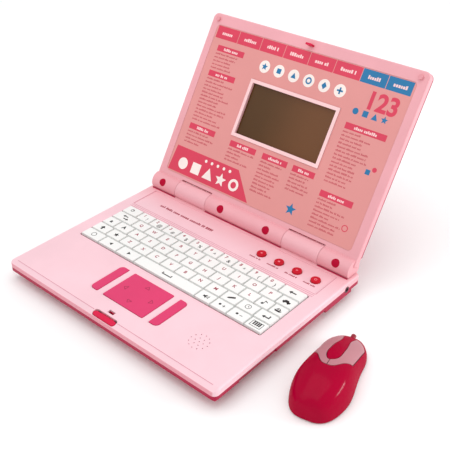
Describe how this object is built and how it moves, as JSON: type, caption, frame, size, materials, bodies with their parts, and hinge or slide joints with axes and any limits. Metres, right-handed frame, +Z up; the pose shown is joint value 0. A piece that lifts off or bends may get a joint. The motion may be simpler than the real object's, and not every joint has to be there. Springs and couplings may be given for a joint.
{
  "type": "toy laptop computer",
  "caption": "Pink toy laptop with a hinged lid, small display, printed panel, sprung keyboard, touch pad, click bars, round buttons, release latch and a matching hand mouse.",
  "frame": {"origin": "centre of the base's flat underside, on the table", "axes": "+X to the right as the user sits, +Y to the back towards the hinge, +Z up"},
  "size_m": [0.3478, 0.3094, 0.1939],
  "materials": {
    "deck_pink": "satin moulded plastic",
    "pan_crimson": "satin moulded plastic",
    "lid_pink": "satin moulded plastic",
    "panel_print": "printed sheet, satin",
    "lcd_frame_pink": "gloss moulded plastic",
    "lcd_glass": "dark display window",
    "board_green": "bare circuit board",
    "steel": "plated steel",
    "cell_can": "plain sleeve",
    "speaker_frame": "dark painted",
    "membrane_rubber": "soft moulded rubber",
    "bumper_rubber": "soft moulded rubber",
    "jack_black": "black moulded plastic",
    "latch_crimson": "gloss moulded plastic",
    "plug_crimson": "gloss moulded plastic",
    "pad_pink": "satin moulded plastic",
    "button_red": "gloss moulded plastic",
    "mouse_crimson": "gloss moulded plastic",
    "mouse_pink": "gloss moulded plastic",
    "gland_rubber": "soft moulded rubber",
    "key_white": "white moulded plastic with printed legends"
  },
  "bodies": {
    "base": {"base_bottom_shell": "pan_crimson", "base_top_cover": "deck_pink", "battery_door": "pan_crimson", "aa_batteries": "cell_can", "battery_contacts": "steel", "main_board": "board_green", "speaker": "speaker_frame", "key_membrane": "membrane_rubber", "base_screws": "steel", "hinge_pins": "steel", "mouse_jack": "jack_black"},
    "lid": {"lid_front_bezel": "lid_pink", "lid_back_cover": "pan_crimson", "graphic_panel": "panel_print", "lcd_frame": "lcd_frame_pink", "lcd_module": "lcd_glass", "display_board": "board_green", "lid_hook": "latch_crimson", "lid_bumpers": "bumper_rubber", "lid_screws": "steel", "screw_plugs": "plug_crimson"},
    "mouse": {"mouse_base": "mouse_crimson", "mouse_shell": "mouse_crimson", "mouse_centre_inlay": "mouse_crimson", "mouse_board": "board_green", "mouse_cord_gland": "gland_rubber"},
    "arrow_keys": {"arrow_keys": "key_white"},
    "function_button_1": {"function_button_1": "button_red"},
    "function_button_2": {"function_button_2": "button_red"},
    "function_button_3": {"function_button_3": "button_red"},
    "function_button_4": {"function_button_4": "button_red"},
    "key_back": {"key_back": "key_white"},
    "key_boat": {"key_boat": "key_white"},
    "key_car": {"key_car": "key_white"},
    "key_circle": {"key_circle": "key_white"},
    "key_clock": {"key_clock": "key_white"},
    "key_enter": {"key_enter": "key_white"},
    "key_escape": {"key_escape": "key_white"},
    "key_large_case": {"key_large_case": "key_white"},
    "key_minus": {"key_minus": "key_white"},
    "key_music": {"key_music": "key_white"},
    "key_pencil": {"key_pencil": "key_white"},
    "key_piano": {"key_piano": "key_white"},
    "key_plus": {"key_plus": "key_white"},
    "key_shift": {"key_shift": "key_white"},
    "key_small_case": {"key_small_case": "key_white"},
    "key_sound": {"key_sound": "key_white"},
    "key_star": {"key_star": "key_white"},
    "key_tab": {"key_tab": "key_white"},
    "left_click_bar": {"left_click_bar": "pad_pink"},
    "letter_keys_bottom": {"letter_keys_bottom": "key_white"},
    "letter_keys_middle": {"letter_keys_middle": "key_white"},
    "letter_keys_top": {"letter_keys_top": "key_white"},
    "number_keys": {"number_keys": "key_white"},
    "right_click_bar": {"right_click_bar": "pad_pink"},
    "space_bar": {"space_bar": "key_white"},
    "touchpad": {"touchpad": "pad_pink"},
    "latch_button": {"latch_button": "latch_crimson"},
    "mouse_left_button": {"mouse_left_button": "mouse_pink"},
    "mouse_right_button": {"mouse_right_button": "mouse_pink"}
  },
  "joints": [
    {"name": "lid_hinge", "type": "hinge", "parent": "base", "child": "lid", "pos_m": [0, 0.0973, 0.027], "axis": [1, 0, 0], "range_deg": [-18, 121.8]},
    {"name": "arrow_keys_press", "type": "slide", "parent": "base", "child": "arrow_keys", "axis": [0, 0, -1], "range_m": [0, 0.0015], "stiffness_N_per_m": 200, "springref_m": -0.0015},
    {"name": "function_button_1_press", "type": "slide", "parent": "base", "child": "function_button_1", "axis": [0, 0, -1], "range_m": [0, 0.0015], "stiffness_N_per_m": 200, "springref_m": -0.0015},
    {"name": "function_button_2_press", "type": "slide", "parent": "base", "child": "function_button_2", "axis": [0, 0, -1], "range_m": [0, 0.0015], "stiffness_N_per_m": 200, "springref_m": -0.0015},
    {"name": "function_button_3_press", "type": "slide", "parent": "base", "child": "function_button_3", "axis": [0, 0, -1], "range_m": [0, 0.0015], "stiffness_N_per_m": 200, "springref_m": -0.0015},
    {"name": "function_button_4_press", "type": "slide", "parent": "base", "child": "function_button_4", "axis": [0, 0, -1], "range_m": [0, 0.0015], "stiffness_N_per_m": 200, "springref_m": -0.0015},
    {"name": "key_back_press", "type": "slide", "parent": "base", "child": "key_back", "axis": [0, 0, -1], "range_m": [0, 0.0015], "stiffness_N_per_m": 200, "springref_m": -0.0015},
    {"name": "key_boat_press", "type": "slide", "parent": "base", "child": "key_boat", "axis": [0, 0, -1], "range_m": [0, 0.0015], "stiffness_N_per_m": 200, "springref_m": -0.0015},
    {"name": "key_car_press", "type": "slide", "parent": "base", "child": "key_car", "axis": [0, 0, -1], "range_m": [0, 0.0015], "stiffness_N_per_m": 200, "springref_m": -0.0015},
    {"name": "key_circle_press", "type": "slide", "parent": "base", "child": "key_circle", "axis": [0, 0, -1], "range_m": [0, 0.0015], "stiffness_N_per_m": 200, "springref_m": -0.0015},
    {"name": "key_clock_press", "type": "slide", "parent": "base", "child": "key_clock", "axis": [0, 0, -1], "range_m": [0, 0.0015], "stiffness_N_per_m": 200, "springref_m": -0.0015},
    {"name": "key_enter_press", "type": "slide", "parent": "base", "child": "key_enter", "axis": [0, 0, -1], "range_m": [0, 0.0015], "stiffness_N_per_m": 200, "springref_m": -0.0015},
    {"name": "key_escape_press", "type": "slide", "parent": "base", "child": "key_escape", "axis": [0, 0, -1], "range_m": [0, 0.0015], "stiffness_N_per_m": 200, "springref_m": -0.0015},
    {"name": "key_large_case_press", "type": "slide", "parent": "base", "child": "key_large_case", "axis": [0, 0, -1], "range_m": [0, 0.0015], "stiffness_N_per_m": 200, "springref_m": -0.0015},
    {"name": "key_minus_press", "type": "slide", "parent": "base", "child": "key_minus", "axis": [0, 0, -1], "range_m": [0, 0.0015], "stiffness_N_per_m": 200, "springref_m": -0.0015},
    {"name": "key_music_press", "type": "slide", "parent": "base", "child": "key_music", "axis": [0, 0, -1], "range_m": [0, 0.0015], "stiffness_N_per_m": 200, "springref_m": -0.0015},
    {"name": "key_pencil_press", "type": "slide", "parent": "base", "child": "key_pencil", "axis": [0, 0, -1], "range_m": [0, 0.0015], "stiffness_N_per_m": 200, "springref_m": -0.0015},
    {"name": "key_piano_press", "type": "slide", "parent": "base", "child": "key_piano", "axis": [0, 0, -1], "range_m": [0, 0.0015], "stiffness_N_per_m": 200, "springref_m": -0.0015},
    {"name": "key_plus_press", "type": "slide", "parent": "base", "child": "key_plus", "axis": [0, 0, -1], "range_m": [0, 0.0015], "stiffness_N_per_m": 200, "springref_m": -0.0015},
    {"name": "key_shift_press", "type": "slide", "parent": "base", "child": "key_shift", "axis": [0, 0, -1], "range_m": [0, 0.0015], "stiffness_N_per_m": 200, "springref_m": -0.0015},
    {"name": "key_small_case_press", "type": "slide", "parent": "base", "child": "key_small_case", "axis": [0, 0, -1], "range_m": [0, 0.0015], "stiffness_N_per_m": 200, "springref_m": -0.0015},
    {"name": "key_sound_press", "type": "slide", "parent": "base", "child": "key_sound", "axis": [0, 0, -1], "range_m": [0, 0.0015], "stiffness_N_per_m": 200, "springref_m": -0.0015},
    {"name": "key_star_press", "type": "slide", "parent": "base", "child": "key_star", "axis": [0, 0, -1], "range_m": [0, 0.0015], "stiffness_N_per_m": 200, "springref_m": -0.0015},
    {"name": "key_tab_press", "type": "slide", "parent": "base", "child": "key_tab", "axis": [0, 0, -1], "range_m": [0, 0.0015], "stiffness_N_per_m": 200, "springref_m": -0.0015},
    {"name": "left_click_bar_press", "type": "slide", "parent": "base", "child": "left_click_bar", "axis": [0, 0, -1], "range_m": [0, 0.0015], "stiffness_N_per_m": 200, "springref_m": -0.0015},
    {"name": "letter_keys_bottom_press", "type": "slide", "parent": "base", "child": "letter_keys_bottom", "axis": [0, 0, -1], "range_m": [0, 0.0015], "stiffness_N_per_m": 200, "springref_m": -0.0015},
    {"name": "letter_keys_middle_press", "type": "slide", "parent": "base", "child": "letter_keys_middle", "axis": [0, 0, -1], "range_m": [0, 0.0015], "stiffness_N_per_m": 200, "springref_m": -0.0015},
    {"name": "letter_keys_top_press", "type": "slide", "parent": "base", "child": "letter_keys_top", "axis": [0, 0, -1], "range_m": [0, 0.0015], "stiffness_N_per_m": 200, "springref_m": -0.0015},
    {"name": "number_keys_press", "type": "slide", "parent": "base", "child": "number_keys", "axis": [0, 0, -1], "range_m": [0, 0.0015], "stiffness_N_per_m": 200, "springref_m": -0.0015},
    {"name": "right_click_bar_press", "type": "slide", "parent": "base", "child": "right_click_bar", "axis": [0, 0, -1], "range_m": [0, 0.0015], "stiffness_N_per_m": 200, "springref_m": -0.0015},
    {"name": "space_bar_press", "type": "slide", "parent": "base", "child": "space_bar", "axis": [0, 0, -1], "range_m": [0, 0.0015], "stiffness_N_per_m": 200, "springref_m": -0.0015},
    {"name": "touchpad_press", "type": "slide", "parent": "base", "child": "touchpad", "axis": [0, 0, -1], "range_m": [0, 0.0015], "stiffness_N_per_m": 200, "springref_m": -0.0015},
    {"name": "latch_slide", "type": "slide", "parent": "base", "child": "latch_button", "axis": [0, 1, 0], "range_m": [0, 0.0012], "stiffness_N_per_m": 200, "springref_m": -0.0015},
    {"name": "mouse_glide", "type": "slide", "parent": "base", "child": "mouse", "axis": [-0.2164, 0.9763, 0], "range_m": [-0.03, 0.03]},
    {"name": "mouse_left_click", "type": "slide", "parent": "mouse", "child": "mouse_left_button", "axis": [0, 0, -1], "range_m": [0, 0.0008], "stiffness_N_per_m": 300, "springref_m": -0.001},
    {"name": "mouse_right_click", "type": "slide", "parent": "mouse", "child": "mouse_right_button", "axis": [0, 0, -1], "range_m": [0, 0.0008], "stiffness_N_per_m": 300, "springref_m": -0.001}
  ]
}
